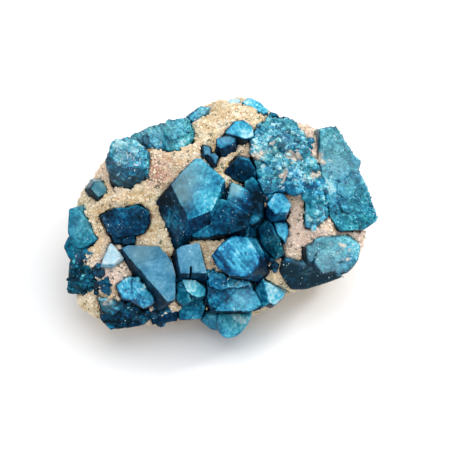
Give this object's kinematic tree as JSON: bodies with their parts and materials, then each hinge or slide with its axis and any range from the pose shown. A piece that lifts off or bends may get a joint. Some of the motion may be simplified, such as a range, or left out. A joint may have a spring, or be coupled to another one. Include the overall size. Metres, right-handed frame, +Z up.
{
  "type": "dioptase cluster",
  "caption": "Mineral specimen: blocky blue-green dioptase crystals set in a lump of pale sugary vein rock with a sawn base to stand on.",
  "frame": {"origin": "Centre of the bounding box across X and Y, on the plane of the sawn base that the specimen stands on.", "axes": "+X to the right along the specimen's longest side, +Y away from the viewer, +Z up. The display face leans back and looks along -Y and +Z."},
  "size_m": [0.0558, 0.044, 0.0326],
  "materials": {
    "rock": "rough, granular and sugary, with dark specks",
    "crystal_deep": "glassy",
    "crystal_teal": "glassy",
    "crystal_cyan": "glassy",
    "crystal_slate": "glassy cleavage flats",
    "crystal_pale": "frosted glassy",
    "crystal_druse": "sparkling crust of tiny crystals"
  },
  "bodies": {
    "root": {"center_block": "crystal_teal", "dark_wedge": "crystal_deep", "upper_block": "crystal_cyan", "upper_small": "crystal_slate", "upper_left_stub": "crystal_teal", "upper_left_ledge": "crystal_druse", "top_sliver": "crystal_teal", "left_cube": "crystal_slate", "left_dark": "crystal_deep", "left_edge": "crystal_teal", "pale_wedge": "crystal_pale", "large_plate": "crystal_slate", "square_plate": "crystal_slate", "lower_center": "crystal_cyan", "lower_cluster": "crystal_teal", "lower_wedge": "crystal_teal", "bottom_knob": "crystal_teal", "lower_right_wedge": "crystal_cyan", "dark_step": "crystal_deep", "right_small": "crystal_cyan", "right_blue": "crystal_cyan", "lower_left_block": "crystal_cyan", "lower_left_ledge": "crystal_teal", "bottom_dark": "crystal_deep", "corner_druse": "crystal_deep", "right_block": "crystal_druse", "right_slab": "crystal_druse", "upper_right_druse": "crystal_druse", "top_pale": "crystal_pale", "top_bright": "crystal_cyan", "top_dark": "crystal_deep", "top_corner": "crystal_teal", "back_upper_group": "crystal_teal", "back_crest_pair": "crystal_teal", "back_left_group": "crystal_cyan", "back_right_group": "crystal_deep", "back_low_right": "crystal_cyan", "right_low_pair": "crystal_teal", "left_low_pair": "crystal_deep", "matrix_rock": "rock"}
  },
  "joints": []
}
